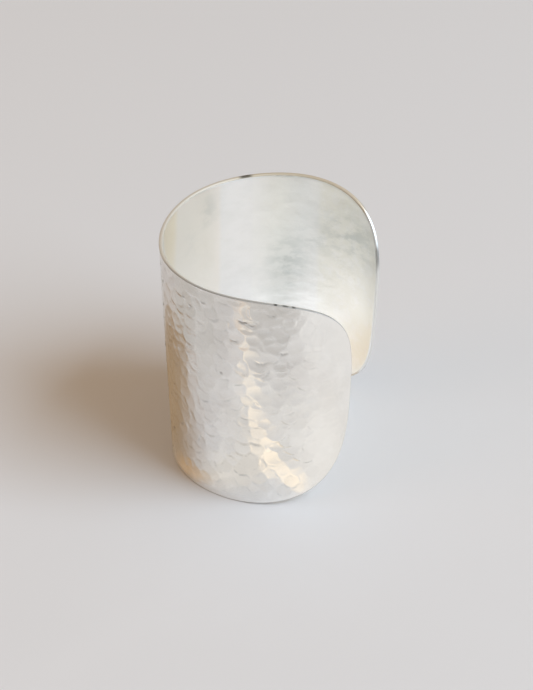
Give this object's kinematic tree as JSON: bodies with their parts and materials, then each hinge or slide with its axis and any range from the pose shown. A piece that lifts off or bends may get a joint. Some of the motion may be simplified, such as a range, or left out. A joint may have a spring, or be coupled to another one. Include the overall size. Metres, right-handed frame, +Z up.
{
  "type": "cuff bracelet",
  "caption": "Wide open cuff bracelet rolled from one metal sheet, hammered outside and smooth inside, with rounded ends and a side gap for putting it on the wrist.",
  "frame": {"origin": "middle of the bounding box in plan, on the plane of the lower edge that the cuff rests on", "axes": "+Z up along the wrist hole, +X out through the gap between the ends, +Y across the widest part of the band"},
  "size_m": [0.0496, 0.0632, 0.0585],
  "materials": {
    "silver": "satin silver, hammered outside and smooth inside"
  },
  "bodies": {
    "root": {"cuff_band": "silver"}
  },
  "joints": []
}
